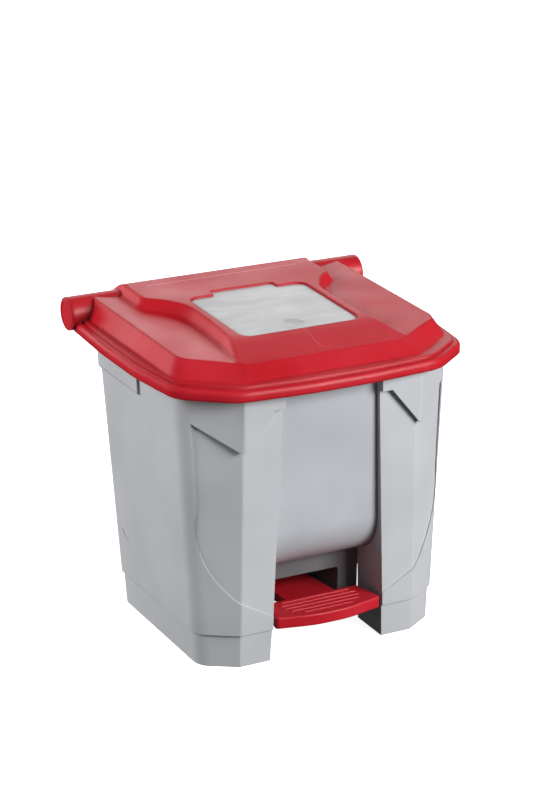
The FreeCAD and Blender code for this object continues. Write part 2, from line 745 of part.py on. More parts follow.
def make_lid_shell():
    thick = size("WallThick")
    y, z = size("HingeY"), size("HingeZ")
    start, end = size("KnuckleStart"), size("KnuckleEnd")
    outer = merge(lid_parts(0, size("SkirtBottom")))
    shell = outer
    for hollow in lid_parts(thick, size("SkirtBottom") - 5):
        shell = shell.cut(hollow)
    gap = size("FlapGap")
    opening = upright(lambda level: flap_outline(gap, level), 380, 440)
    frame = below_plateau(upright(lambda level: flap_outline(gap + 2.4, level), 405.1, 430), 1.0)
    lugs = both_sides(below_plateau(block((48.6, 79.2, 403.8), (54.6, 92, 425)), 1.0))
    sill = block((-40, 87.9, 407), (40, 93.5, 413.9))
    boss = block((-20, 140, 411), (20, 164, 419.5))
    lug_bays = both_sides(block((170.5, 125, 360), (187.4, 182, 403)))
    crank_bay = block((-24, 130, 360), (24, 172, 403))
    knuckle_bore = both_sides(rod_x(y, z, size("RollRadius") - 1.5, start, end + 10))
    shell = merge([shell, frame, *lugs, boss]).cut(opening)
    for cutter in (*knuckle_bore, *lug_bays, crank_bay):
        shell = shell.cut(cutter)
    knuckle = rod_x(y, z, size("RollRadius") - 0.1, start - 0.5, end)
    pocket = rod_x(y, z, size("PinHead") + 0.2, end - size("PinHeadThick"), end + 5)
    hollow = rod_x(y, z, size("RollRadius") - thick, start + thick, end - size("PinHeadThick") + 1)
    hub = rod_x(y, z, 12.0, start, end - size("PinHeadThick"))
    tube = knuckle.cut([pocket, hollow]).fuse(hub)
    shell = merge([shell, sill, *both_sides(tube)])
    pin_holes = both_sides(rod_x(y, z, size("PinRadius"), start - 1, end + 1))
    flap_holes = rod_x(size("FlapAxisY"), size("FlapAxisZ"), size("FlapRodRadius") + 0.05, -60, 60)
    crank_holes = [
        Part.makeCylinder(1.9, 5.0, Vector(x, cy, 410.5), Z_AXIS) for x, cy in CRANK_SCREWS
    ]
    for cutter in (*pin_holes, flap_holes, *crank_holes):
        shell = shell.cut(cutter)
    return max(shell.Solids, key=lambda solid: solid.Volume)


CRANK_SCREWS = [(-15, 145), (15, 145), (-15, 160), (15, 160)]


def make_flap():
    """The push flap: a thin panel with a finger dimple, an edge rib underneath and a pivot barrel."""
    thick = size("FlapThick")
    level = lambda y: plateau_z(y) - 2.5
    prism = upright(lambda height: flap_outline(0, height), 390, 440)

    def layer(upper, lower):
        front, rear = level(-120), level(120)
        corners = [(-120, front - upper), (120, rear - upper), (120, rear - lower), (-120, front - lower)]
        return prism_x(corners, -120, 120)

    panel = prism.common(layer(0, thick))
    ring = upright(lambda height: flap_outline(-4, height), 390, 440)
    ring = ring.cut(upright(lambda height: flap_outline(-6.2, height), 380, 450))
    rib = ring.common(layer(1, 8)).common(block((-100, -90, 390), (100, 72, 440)))
    radius = 46.0
    dimple_y, dimple_depth = -56.0, 2.6
    ball_z = level(dimple_y) - dimple_depth + radius
    dimple = Part.makeSphere(radius, Vector(0, dimple_y, ball_z))
    bulge = Part.makeSphere(radius + 2.2, Vector(0, dimple_y, ball_z)).common(
        block((-40, dimple_y - 40, 390), (40, dimple_y + 40, level(dimple_y) - 0.8))
    )
    barrel = rod_x(size("FlapAxisY"), size("FlapAxisZ"), 4.6, -42.0, 42.0)
    flap = merge([panel, rib, bulge, barrel]).cut(
        [dimple, rod_x(size("FlapAxisY"), size("FlapAxisZ"), size("FlapRodRadius"), -60, 60)]
    )
    return flap


def make_flap_springs():
    """A torsion spring at each end of the flap's barrel, with one leg forward and one leg back."""
    wire, mean, turns, pitch = 0.8, 3.1, 3, 1.25
    axis = Vector(42.5, size("FlapAxisY"), size("FlapAxisZ"))
    helix = Part.makeHelix(pitch, pitch * turns, mean)
    start = Vector(mean, 0, 0)
    ring = Part.Wire(Part.makeCircle(wire / 2, start, Vector(0, 1, pitch / (2 * math.pi * mean))))
    coil = Part.Wire(helix.Edges).makePipeShell([ring], True, True)
    legs = [
        Part.makeCylinder(wire / 2, 9, start, Vector(0, -1, 0)),
        Part.makeCylinder(wire / 2, 4.5, start + Vector(0, 0, pitch * turns), Vector(0, 1, 0)),
    ]
    spring = coil.fuse(legs)
    spring.Placement = Placement(axis, Rotation(Y_AXIS, 90))
    return Part.Compound(both_sides(spring))


def crank_pin_place():
    angle = math.radians(size("CrankStart"))
    return (
        size("HingeY") + size("CrankRadius") * math.cos(angle),
        size("HingeZ") + size("CrankRadius") * math.sin(angle),
    )


def make_crank():
    """The fork under the lid that carries the crank pin: base plate and two cheeks."""
    y, z = crank_pin_place()
    base = block((-20, 140, 408), (20, 165, 411))
    cheek = [(143, 408), (y - 6.2, z + 1), (y - 4.8, z - 4.2), (y, z - 6.2), (y + 5.4, z - 3.2), (163, 408)]
    cheeks = both_sides(prism_x(cheek, 7, 10))
    holes = [Part.makeCylinder(SCREW_RADIUS, 10, Vector(x, cy, 404), Z_AXIS) for x, cy in CRANK_SCREWS]
    fork = merge([base, *cheeks])
    return fork.cut([rod_x(y, z, size("CrankPinRadius"), -20, 20), *holes])


def make_crank_screws():
    one = screw(3.6, 1.8, 3.0)
    thread = Part.makeCylinder(1.9, 4.5, Vector(0, 0, -7.5))
    one = one.fuse(thread)
    return Part.Compound([placed(one, Vector(x, cy, 408), Vector(0, 0, -1)) for x, cy in CRANK_SCREWS])


def make_lid_buffers():
    """Four rubber blocks under the lid's land, which meet the housing rim."""
    low, high = size("RimHeight") + 0.3, size("LandTop") - size("WallThick") - 0.05
    blocks = []
    for y in (-70, 90):
        pad = block((194.4, y - 12, low), (199.6, y + 12, high))
        pad = pad.makeFillet(2, [e for e in pad.Edges if e.BoundBox.ZLength > 5])
        blocks += both_sides(pad)
    return Part.Compound(blocks)


# ---------------------------------------------------------------- pedal lever and push rod


def rod_point(along):
    """A point on the push rod's line, measured from its foot point beside the hinge axis."""
    lean = math.radians(size("RodLean"))
    foot_y = size("HingeY") - size("RodOffset") * math.cos(lean)
    foot_z = size("HingeZ") + size("RodOffset") * math.sin(lean)
    return Vector(0, foot_y + along * math.sin(lean), foot_z + along * math.cos(lean))


def rod_direction():
    lean = math.radians(size("RodLean"))
    return Vector(0, math.sin(lean), math.cos(lean))


def pin_along():
    """Where the crank pin stands along the push rod's line with the lid shut."""
    y, z = crank_pin_place()
    return (Vector(0, y, z) - rod_point(0)).dot(rod_direction())


ROD_FOOT_ALONG = -362.0


def make_push_rod():
    start, end = rod_point(ROD_FOOT_ALONG + 6), rod_point(pin_along() - 8.0)
    return Part.makeCylinder(size("RodRadius"), (end - start).Length, start, rod_direction())


def make_rod_foot():
    """A domed nylon foot on the rod's lower end."""
    centre = rod_point(ROD_FOOT_ALONG)
    ball = Part.makeSphere(7.0, centre)
    socket = Part.makeCylinder(5.5, 14, centre, rod_direction())
    hole = Part.makeCylinder(size("RodRadius"), 20, rod_point(ROD_FOOT_ALONG + 6), rod_direction())
    return ball.fuse(socket).cut(hole)


def make_rod_eye():
    """The nylon head on the rod's upper end, with a slot for the crank pin."""
    reach = size("CrankRadius") * (1 - math.cos(math.radians(40))) / 2
    pin = size("CrankPinRadius")
    half_slot, half_height = reach + 0.35, pin + 0.8
    outer = block((-6, -half_slot - pin - 2.6, -7.2), (6, half_slot + pin + 2.6, 7.2))
    outer = outer.makeFillet(3, [e for e in outer.Edges if e.BoundBox.XLength > 10])
    slot = block((-10, -half_slot, -half_height), (10, half_slot, half_height))
    ends = [rod_x(s * half_slot, 0, half_height, -10, 10) for s in (-1, 1)]
    stem = Part.makeCylinder(5.0, 16, Vector(0, 0, -20), Z_AXIS)
    hole = Part.makeCylinder(size("RodRadius"), 14, Vector(0, 0, -22), Z_AXIS)
    eye = outer.fuse(stem).cut([slot, *ends, hole])
    eye.Placement = Placement(rod_point(pin_along()), Rotation(X_AXIS, -size("RodLean")))
    return eye


def make_rod_guide(level):
    """A guide clip on the rear wall that the push rod slides through."""
    base = block((-17, -8, 0.05), (17, 8, 2.5))
    rod_height = guide_rod_height(level)
    post = block((-6, -8, 0.05), (6, 8, rod_height + 5.5))
    upper_edges = [e for e in post.Edges if e.BoundBox.ZMin > rod_height + 5 and e.BoundBox.YLength > 10]
    post = post.makeFillet(3, upper_edges)
    holes = [Part.makeCylinder(SCREW_RADIUS, 20, Vector(s * GUIDE_SCREW_X, 0, -5), Z_AXIS) for s in (-1, 1)]
    guide = merge([base, post]).cut(holes)
    guide.translate(Vector(0, up_wall(level), 0))
    guide = rear_frame(guide)
    bore = Part.makeCylinder(size("RodRadius") + 0.06, 460, rod_point(-420), rod_direction())
    return guide.cut(bore)


def guide_rod_height(level):
    """Distance of the rod's line from the rear wall at a height."""
    lean = math.tan(math.radians(size("RodLean")))
    foot = rod_point(0)
    rod_y = foot.y + (level - foot.z) * lean
    return (rod_y - rear_wall_y(level)) / math.hypot(1, size("RearLean"))


def make_guide_screws():
    one = screw(3.6, 1.8, 5.4)
    lift = rear_normal() * 2.5
    places = [
        Vector(side * GUIDE_SCREW_X, rear_wall_y(z), z) + lift for side in (-1, 1) for z in GUIDE_LEVELS
    ]
    return Part.Compound([placed(one, p, rear_normal()) for p in places])


def make_lever():
    """The pedal lever: ribbed pad, channel arm, pivot hub and the tail that lifts the rod."""
    pivot_y, pivot_z = size("PivotY"), size("PivotZ")
    top, bottom = size("PadTop"), size("PadBottom")
    foot = rod_point(ROD_FOOT_ALONG)
    seat = foot.z - 7.0 - 0.5
    thick = 3.2

    outline = mirrored_outline([(24, -174.8), (77.5, -162.5), (66, -117)])
    radii = [150.0, 5.0, 3.0]
    radii = radii[::-1] + radii

    def pad_face(inset, z):
        inner = [max(r - inset, 1.0) for r in radii]
        return Part.Face(rounded_wire(inset_polygon(outline, inset), inner, z))

    pad = pad_face(0, bottom).extrude(Vector(0, 0, top - bottom))
    crown_edges = [e for e in pad.Edges if e.BoundBox.ZMin > top - 0.1]
    pad = pad.makeFillet(2.2, crown_edges)
    pad = pad.cut(pad_face(thick, bottom - 1).extrude(Vector(0, 0, top - bottom + 1 - thick)))
    treads = []
    for y, half in ((-125, 50), (-134, 55), (-143, 55), (-152, 50), (-161, 36)):
        tread = block((-half, y - 1.8, top - 1), (half, y + 1.8, top + 1.2))
        ridge = [e for e in tread.Edges if e.BoundBox.ZMin > top + 1]
        treads.append(tread.makeFillet(1.0, ridge))
    arm_profile = [
        (-119, 57.5), (-100, 55.5), (pivot_y, pivot_z + 10), (96, seat), (122, seat),
        (122, seat - 6), (96, seat - 9), (pivot_y, pivot_z - 7), (-100, 45.5), (-119, 45.5),
    ]
    plan = [(-36, -119), (36, -119), (34, -20), (17, 60), (14, 122), (-14, 122), (-17, 60), (-34, -20)]
    arm = prism_x(arm_profile, -40, 40).common(prism_z(plan, 0, 80))
    hollow_profile = [
        (-116, 54.3), (-100, 52.3), (pivot_y, pivot_z + 6.8), (92, seat - 3.4),
        (92, seat - 20), (pivot_y, pivot_z - 20), (-116, 20),
    ]
    hollow_plan = [
        (-33, -116), (33, -116), (31, -20), (14, 60),
        (11.5, 92), (-11.5, 92), (-14, 60), (-31, -20),
    ]
    hollow = prism_x(hollow_profile, -40, 40).common(prism_z(hollow_plan, 0, 80))
    arm = arm.cut(hollow)
    hub = rod_x(pivot_y, pivot_z, 9.5, -35, 35)
    lever = merge([pad, arm, hub, *treads])
    return lever.cut(rod_x(pivot_y, pivot_z, size("PivotBore"), -60, 60))


# ---------------------------------------------------------------- turned pieces as PartDesign bodies


def origin_plane(body, role):
    return next(f for f in body.Origin.OriginFeatures if f.Role == role)


def turned_body(label, steps):
    """A body along +X made of round pads. Each step is (radius, start, length) as sheet expressions."""
    body = DOC.addObject("PartDesign::Body", label)
    for number, (radius, start, length) in enumerate(steps, start=1):
        sketch = body.newObject("Sketcher::SketchObject", f"{label}_circle_{number}")
        sketch.AttachmentSupport = (origin_plane(body, "YZ_Plane"), [""])
        sketch.MapMode = "FlatFace"
        sketch.setExpression("AttachmentOffset.Base.z", start)
        sketch.addGeometry(Part.Circle(Vector(0, 0, 0), Z_AXIS, 1.0), False)
        sketch.addConstraint(Sketcher.Constraint("Coincident", 0, 3, -1, 1))
        rule = sketch.addConstraint(Sketcher.Constraint("Radius", 0, 1.0))
        sketch.setExpression(f"Constraints[{rule}]", radius)
        pad = body.newObject("PartDesign::Pad", f"{label}_pad_{number}")
        pad.Profile = sketch
        pad.setExpression("Length", length)
        sketch.Visibility = False
        DOC.recompute()
    return body


# ---------------------------------------------------------------- the document's objects


def add_shape(label, shape):
    """A sub-part whose form is made in code from the sheet's values."""
    item = DOC.addObject("Part::Feature", label)
    item.Shape = shape
    return item


def place_body(body, position, turn=0.0):
    """Moves a turned body to its place, turned about Z."""
    body.Placement = Placement(position, Rotation(Z_AXIS, turn))
    return body


def build_housing_group():
    add_shape("outer_housing", make_housing())
    add_shape("mechanism_deck", make_deck())
    add_shape("deck_screws", make_deck_screws())
    add_shape("left_carry_grip", make_grip(-1))
    add_shape("right_carry_grip", make_grip(1))
    add_shape("rod_cover", make_rear_cover())
    add_shape("cover_screws", make_cover_screws())
    for name, level in zip(("rod_guide_lower", "rod_guide_upper"), GUIDE_LEVELS):
        add_shape(name, make_rod_guide(level))
    add_shape("guide_screws", make_guide_screws())
    add_shape("inner_bucket", make_bucket())


def build_lid_group():
    add_shape("lid_shell", make_lid_shell())
    add_shape("lid_buffers", make_lid_buffers())
    add_shape("lid_crank", make_crank())
    add_shape("crank_screws", make_crank_screws())
    add_shape("flap_panel", make_flap())
    add_shape("flap_springs", make_flap_springs())
    flap_rod = turned_body(
        "flap_rod",
        [("Dimensions.FlapRodRadius", "-Dimensions.FlapRodHalf", "2 * Dimensions.FlapRodHalf")],
    )
    place_body(flap_rod, Vector(0, size("FlapAxisY"), size("FlapAxisZ")))
    crank_pin = turned_body("crank_pin", [("Dimensions.CrankPinRadius", "-13", "26")])
    place_body(crank_pin, Vector(0, *crank_pin_place()))
    hinge = Vector(0, size("HingeY"), size("HingeZ"))
    shank = (
        "Dimensions.PinRadius",
        "Dimensions.LugInner - 4",
        "Dimensions.KnuckleEnd - Dimensions.PinHeadThick - Dimensions.LugInner + 4",
    )
    head = ("Dimensions.PinHead", "Dimensions.KnuckleEnd - Dimensions.PinHeadThick", "Dimensions.PinHeadThick")
    place_body(turned_body("hinge_pin_right", [shank, head]), hinge)
    place_body(turned_body("hinge_pin_left", [shank, head]), hinge, 180)


def build_pedal_group():
    add_shape("pedal_lever", make_lever())
    pivot = turned_body(
        "lever_pivot_pin",
        [("Dimensions.PivotRadius", "-Dimensions.PivotHalf", "2 * Dimensions.PivotHalf")],
    )
    place_body(pivot, Vector(0, size("PivotY"), size("PivotZ")))
    add_shape("push_rod", make_push_rod())
    add_shape("rod_foot", make_rod_foot())
    add_shape("rod_eye", make_rod_eye())


def sub_parts():
    return [item for item in DOC.Objects if item.TypeId in ("Part::Feature", "PartDesign::Body")]


def check_document():
    """Stops the run when an object failed or a sub-part's shape is missing or faulty."""
    for item in DOC.Objects:
        if "Invalid" in item.State or "Error" in item.State:
            raise RuntimeError(f"{item.Label} failed to recompute")
    for item in sub_parts():
        if item.Shape.isNull() or not item.Shape.isValid():
            raise RuntimeError(f"{item.Label} has a faulty shape")


def write_sub_parts():
    os.makedirs("parts", exist_ok=True)
    for item in sub_parts():
        item.Shape.exportStep(f"parts/{item.Label}.step")


build_housing_group()
build_lid_group()
build_pedal_group()
DOC.recompute()
check_document()
write_sub_parts()
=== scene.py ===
"""Looks of the pedal waste bin: materials, cap rims, floor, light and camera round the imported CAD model."""

import json
import math

import bmesh
import bpy
from mathutils import Matrix, Vector


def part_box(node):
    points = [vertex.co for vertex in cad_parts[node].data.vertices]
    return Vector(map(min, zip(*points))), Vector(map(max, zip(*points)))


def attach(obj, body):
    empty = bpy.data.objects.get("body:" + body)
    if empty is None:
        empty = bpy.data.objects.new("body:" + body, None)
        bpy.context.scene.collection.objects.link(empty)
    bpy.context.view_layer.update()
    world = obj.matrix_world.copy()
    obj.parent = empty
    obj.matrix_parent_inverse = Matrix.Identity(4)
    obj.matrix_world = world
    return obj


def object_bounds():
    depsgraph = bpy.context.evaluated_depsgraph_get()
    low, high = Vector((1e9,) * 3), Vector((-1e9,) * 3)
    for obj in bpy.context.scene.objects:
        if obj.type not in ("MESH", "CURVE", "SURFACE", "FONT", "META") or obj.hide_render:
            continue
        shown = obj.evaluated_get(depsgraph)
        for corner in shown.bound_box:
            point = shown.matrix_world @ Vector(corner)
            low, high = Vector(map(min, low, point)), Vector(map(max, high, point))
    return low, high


MM = 0.001

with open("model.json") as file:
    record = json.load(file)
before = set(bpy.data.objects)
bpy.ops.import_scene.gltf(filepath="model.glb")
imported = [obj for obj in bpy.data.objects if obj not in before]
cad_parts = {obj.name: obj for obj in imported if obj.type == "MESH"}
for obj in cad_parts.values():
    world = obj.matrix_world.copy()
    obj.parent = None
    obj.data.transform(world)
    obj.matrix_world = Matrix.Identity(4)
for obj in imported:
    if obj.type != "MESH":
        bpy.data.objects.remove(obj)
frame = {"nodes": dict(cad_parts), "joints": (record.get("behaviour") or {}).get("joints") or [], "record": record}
cad_box = [list(corner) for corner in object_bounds()]
NODES = frame["nodes"]
HINGE = Vector(next(joint["pos_m"] for joint in frame["joints"] if joint["name"] == "lid_hinge"))
CAP_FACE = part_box("hinge_pin_right")[1][0]

# Rim beads of the hinge caps, with the angle in degrees from one point of a rim to the next
CAP_RIM_RADIUS = 17.6 * MM
CAP_RIM_BEAD = 0.55 * MM
CAP_RIM_STEP = 6

# Parting lines of the lid, painted pale as the highlight where their raised ridges catch the light, as places in
# the lid's own coordinates
FRONT_LINE_Y = -103 * MM
FRONT_LINE_HALF_LENGTH = 25 * MM
FRONT_LINE_HALF_WIDTH = 0.45 * MM
REAR_LINE_Y = 144 * MM
REAR_LINE_HALF_LENGTH = 112 * MM
REAR_LINE_HALF_WIDTH = 0.7 * MM

# Scales of the noise in moulded plastic, from slow tone changes down to the grain
CLOUD_SCALE = 9.0
WAVE_SCALE = 14.0
GLOSS_SCALE = 16.0
SCUFF_SCALE = 60.0
SPECK_SCALE = 420.0
GRAIN_SCALE = 1500.0

# Rounding of the solids' edges, as the shader sees them
EDGE_RADIUS = 1.0 * MM
RED_EDGE_RADIUS = 2.0 * MM
LID_EDGE_RADIUS = 5.0 * MM
WORN_EDGE_WIDTH = 1.2 * MM
BEVEL_SAMPLES = 4

# Floor and backdrop, in metres, turned by an angle in degrees so that they face the camera
FLOOR_HALF_WIDTH = 12.0
FLOOR_DEPTH = 9.0
BACKDROP_HEIGHT = 7.0
BACKDROP_BEND = 2.0
BEND_STEPS = 16
FLOOR_TURN = -28
FLOOR_GLOW = 0.9

# Strength of the air, and how far below and above the horizon it changes from dim to full
AIR_DIM = 0.05
AIR_STRENGTH = 0.13
AIR_DIM_BELOW = -0.25
AIR_FULL_ABOVE = 0.10

# Powers of the light panels in watts, and the point that they face
OVERHEAD_POWER = 1.5
KEY_POWER = 128
LEFT_POWER = 96
REAR_POWER = 17
FILL_POWER = 20
LIGHT_AIM = Vector((0, 0, 0.25))

# Camera: angles in degrees, distance in metres, lens and sensor in millimetres
CAMERA_AZIMUTH = -28.26
CAMERA_ELEVATION = 20.59
CAMERA_ROLL = 0.806
CAMERA_DISTANCE = 3.2803
CAMERA_LENS = 113.0
SENSOR_WIDTH = 36.0
NEAREST_SEEN = 0.05
FURTHEST_SEEN = 60.0
AIM_FROM_CENTRE = Vector((-11.4, -6.0, 83.6)) * MM

# ---------------------------------------------------------------- shader helpers


class Shader:
    """A node material under construction, with short calls for the nodes that the materials share."""

    def __init__(self, name):
        self.material = bpy.data.materials.new(name)
        self.material.use_nodes = True
        self.nodes = self.material.node_tree.nodes
        self.links = self.material.node_tree.links
        self.nodes.clear()
        self.output = self.nodes.new("ShaderNodeOutputMaterial")
        self.surface = self.nodes.new("ShaderNodeBsdfPrincipled")
        self.links.new(self.surface.outputs["BSDF"], self.output.inputs["Surface"])
        self.place = self.nodes.new("ShaderNodeTexCoord").outputs["Object"]

    def join(self, source, target):
        """Links an output socket to an input socket."""
        self.links.new(source, target)

    def noise(self, scale, detail=3.0, stretch=None, distortion=0.0):
        """A noise value over the object's own coordinates; stretch scales the axes."""
        node = self.nodes.new("ShaderNodeTexNoise")
        node.inputs["Scale"].default_value = scale
        node.inputs["Detail"].default_value = detail
        node.inputs["Distortion"].default_value = distortion
        if stretch:
            mapping = self.nodes.new("ShaderNodeMapping")
            mapping.inputs["Scale"].default_value = stretch
            self.join(self.place, mapping.inputs["Vector"])
            self.join(mapping.outputs["Vector"], node.inputs["Vector"])
        else:
            self.join(self.place, node.inputs["Vector"])
        return node.outputs["Fac"]

    def remap(self, value, low, high, out_low, out_high):
        """A value stretched from one range to another, and clamped to it."""
        node = self.nodes.new("ShaderNodeMapRange")
        node.inputs["From Min"].default_value = low
        node.inputs["From Max"].default_value = high
        node.inputs["To Min"].default_value = out_low
        node.inputs["To Max"].default_value = out_high
        self.join(value, node.inputs["Value"])
        return node.outputs["Result"]

    def math(self, kind, first, second):
        """Arithmetic on two values, each a number or a socket."""
        node = self.nodes.new("ShaderNodeMath")
        node.operation = kind
        for socket, value in zip(node.inputs, (first, second)):
            if isinstance(value, (int, float)):
                socket.default_value = value
            else:
                self.join(value, socket)
        return node.outputs["Value"]

    def mix(self, factor, first, second):
        """A colour between two, each a colour or a socket."""
        node = self.nodes.new("ShaderNodeMix")
        node.data_type = "RGBA"
        self.join(factor, node.inputs["Factor"])
        colour_inputs = [s for s in node.inputs if s.type == "RGBA"]
        for socket, value in zip(colour_inputs, (first, second)):
            if hasattr(value, "is_linked"):
                self.join(value, socket)
            else:
                socket.default_value = (*value, 1.0)
        return next(s for s in node.outputs if s.type == "RGBA")

    def soft_edges(self, radius):
        """The surface normal with the solids' sharp edges rounded off."""
        node = self.nodes.new("ShaderNodeBevel")
        node.samples = BEVEL_SAMPLES
        node.inputs["Radius"].default_value = radius
        return node.outputs["Normal"]

    def bump(self, height, strength, distance, normal):
        """A normal turned by a height, on top of the normal made so far."""
        node = self.nodes.new("ShaderNodeBump")
        node.inputs["Strength"].default_value = strength
        node.inputs["Distance"].default_value = distance
        self.join(height, node.inputs["Height"])
        self.join(normal, node.inputs["Normal"])
        return node.outputs["Normal"]

    def coordinate(self, axis):
        """One of the object's own coordinates, in metres."""
        parts = self.nodes.new("ShaderNodeSeparateXYZ")
        self.join(self.place, parts.inputs["Vector"])
        return parts.outputs[axis]

    def band(self, value, centre, half_width):
        """1 where a value is within half_width of centre, and 0 elsewhere."""
        node = self.nodes.new("ShaderNodeMath")
        node.operation = "COMPARE"
        self.join(value, node.inputs[0])
        node.inputs[1].default_value = centre
        node.inputs[2].default_value = half_width
        return node.outputs["Value"]

    def recolour(self, factor, colour):
        """Lays a colour over the base colour made so far."""
        target = self.surface.inputs["Base Color"]
        self.join(self.mix(factor, target.links[0].from_socket, colour), target)

    def edge_wear(self, width):
        """1 on the solids' edges and 0 elsewhere, from how far the rounded normal turns."""
        rounded = self.soft_edges(width)
        flat = self.nodes.new("ShaderNodeNewGeometry").outputs["Normal"]
        dot = self.nodes.new("ShaderNodeVectorMath")
        dot.operation = "DOT_PRODUCT"
        self.join(rounded, dot.inputs[0])
        self.join(flat, dot.inputs[1])
        return self.remap(dot.outputs["Value"], 0.99, 0.75, 0.0, 1.0)


def moulded_plastic(name, colour, pale, dark, roughness, grain, edge=EDGE_RADIUS, shine=0.4):
    """Injection-moulded plastic: slow tone changes, fine grain, small scuffs, and paler worn edges."""
    s = Shader(name)
    clouds = s.remap(s.noise(CLOUD_SCALE, 2.0), 0.35, 0.65, 0.0, 1.0)
    base = s.mix(clouds, colour, pale)
    specks = s.remap(s.noise(SPECK_SCALE, 2.0), 0.68, 0.76, 0.0, 0.35)
    base = s.mix(specks, base, dark)
    scuff_noise = s.noise(SCUFF_SCALE, 6.0, stretch=(1.0, 1.0, 0.25), distortion=1.5)
    scuffs = s.remap(scuff_noise, 0.62, 0.74, 0.0, 0.25)
    base = s.mix(scuffs, base, pale)
    base = s.mix(s.math("MULTIPLY", s.edge_wear(WORN_EDGE_WIDTH), 0.35), base, pale)
    s.join(base, s.surface.inputs["Base Color"])
    gloss = s.remap(s.noise(GLOSS_SCALE, 3.0), 0.3, 0.7, roughness - 0.05, roughness + 0.06)
    s.join(s.math("ADD", gloss, s.math("MULTIPLY", scuffs, 0.35)), s.surface.inputs["Roughness"])
    rounded = s.soft_edges(edge)
    waves = s.bump(s.noise(WAVE_SCALE, 1.0), 0.35, 1.2 * MM, rounded)
    s.join(s.bump(s.noise(GRAIN_SCALE, 2.0), grain, 0.08 * MM, waves), s.surface.inputs["Normal"])
    s.surface.inputs["Specular IOR Level"].default_value = shine
    s.surface.inputs["IOR"].default_value = 1.5
    return s


# ---------------------------------------------------------------- materials


def make_grey():
    """The grey of the housing, the carry grips and the rod's cover."""
    return moulded_plastic(
        "grey_plastic",
        colour=(0.47, 0.48, 0.50),
        pale=(0.52, 0.53, 0.55),
        dark=(0.34, 0.35, 0.37),
        roughness=0.42,
        grain=0.35,
    ).material


def make_bucket_grey():
    """The slightly darker and smoother grey of the bucket."""
    return moulded_plastic(
        "bucket_plastic",
        colour=(0.42, 0.43, 0.46),
        pale=(0.47, 0.48, 0.51),
        dark=(0.32, 0.33, 0.35),
        roughness=0.40,
        grain=0.25,
    ).material


def red_plastic(name, edge):
    """The red that the lid, the hinge caps and the pedal share, with edges rounded as given."""
    return moulded_plastic(
        name,
        colour=(0.47, 0.007, 0.015),
        pale=(0.53, 0.016, 0.028),
        dark=(0.30, 0.005, 0.010),
        roughness=0.40,
        grain=0.30,
        edge=edge,
        shine=0.36,
    )


def make_red():
    """The red of the pedal and the hinge caps."""
    return red_plastic("red_plastic", RED_EDGE_RADIUS).material


def make_lid_red():
    """The red of the lid, with pale hairlines along the mould's parting ridges: real lines, painted pale as the
    highlight on the ridges.
    """
    s = red_plastic("lid_red_plastic", LID_EDGE_RADIUS)
    x = s.coordinate("X")
    y = s.coordinate("Y")
    across_front = s.band(x, 0.0, FRONT_LINE_HALF_WIDTH)
    along_front = s.band(y, FRONT_LINE_Y, FRONT_LINE_HALF_LENGTH)
    front = s.math("MULTIPLY", across_front, along_front)
    across_rear = s.band(y, REAR_LINE_Y, REAR_LINE_HALF_WIDTH)
    along_rear = s.band(x, 0.0, REAR_LINE_HALF_LENGTH)
    rear = s.math("MULTIPLY", across_rear, along_rear)
    # Painted highlight: pale lines where the raised parting ridges catch the light.
    s.recolour(s.math("MULTIPLY", front, 0.35), (0.80, 0.30, 0.32))
    s.recolour(s.math("MULTIPLY", rear, 0.45), (0.90, 0.50, 0.50))
    return s.material


def make_flap_grey():
    """Pale plastic with the faint swirls that melt flow leaves."""
    s = moulded_plastic(
        "flap_plastic",
        colour=(0.40, 0.405, 0.415),
        pale=(0.45, 0.455, 0.46),
        dark=(0.38, 0.38, 0.39),
        roughness=0.30,
        grain=0.2,
        shine=0.28,
    )
    swirls = s.noise(7.0, 4.0, stretch=(0.8, 2.2, 1.0), distortion=3.0)
    streaks = s.remap(swirls, 0.42, 0.60, 0.0, 0.6)
    s.recolour(streaks, (0.54, 0.545, 0.55))
    return s.material


def make_deck_painted_shade():
    """Painted shade: near-black plastic on the deck, which carries the mechanism out of sight, standing in for the
    shadow that falls under the bucket.
    """
    return moulded_plastic(
        "painted_shade_deck",
        colour=(0.105, 0.105, 0.11),
        pale=(0.13, 0.13, 0.135),
        dark=(0.07, 0.07, 0.075),
        roughness=0.5,
        grain=0.35,
    ).material


def make_nylon():
    """The off-white nylon of the lid's crank and of the rod's foot, eye and guides."""
    return moulded_plastic(
        "white_nylon",
        colour=(0.72, 0.71, 0.66),
        pale=(0.78, 0.77, 0.73),
        dark=(0.55, 0.54, 0.50),
        roughness=0.45,
        grain=0.3,
    ).material


def make_rubber():
    """The dull black rubber of the lid's buffers."""
    return moulded_plastic(
        "black_rubber",
        colour=(0.02, 0.02, 0.02),
        pale=(0.035, 0.035, 0.035),
        dark=(0.01, 0.01, 0.01),
        roughness=0.7,
        grain=0.6,
    ).material


def make_zinc():
    """Bright zinc on steel: cool metal with faint drawn streaks and dull patches."""
    s = Shader("zinc_steel")
    patches = s.remap(s.noise(120.0, 4.0), 0.35, 0.7, 0.0, 1.0)
    s.join(s.mix(patches, (0.62, 0.63, 0.66), (0.50, 0.51, 0.50)), s.surface.inputs["Base Color"])
    s.surface.inputs["Metallic"].default_value = 1.0
    streaks = s.noise(300.0, 3.0, stretch=(0.1, 1, 1))
    s.join(s.remap(streaks, 0.3, 0.7, 0.24, 0.4), s.surface.inputs["Roughness"])
    rounded = s.soft_edges(0.3 * MM)
    s.join(s.bump(s.noise(900.0, 2.0), 0.2, 0.05 * MM, rounded), s.surface.inputs["Normal"])
    return s.material


MAKERS = {
    "grey_plastic": make_grey,
    "bucket_plastic": make_bucket_grey,
    "red_plastic": make_red,
    "flap_plastic": make_flap_grey,
    "white_nylon": make_nylon,
    "black_rubber": make_rubber,
    "zinc_steel": make_zinc,
}
MATERIALS = {slot: maker() for slot, maker in MAKERS.items()}
# The deck's own material is painted shade: near-black where the shadow under the bucket falls.
OWN_MATERIALS = {"lid_shell": make_lid_red(), "mechanism_deck": make_deck_painted_shade()}


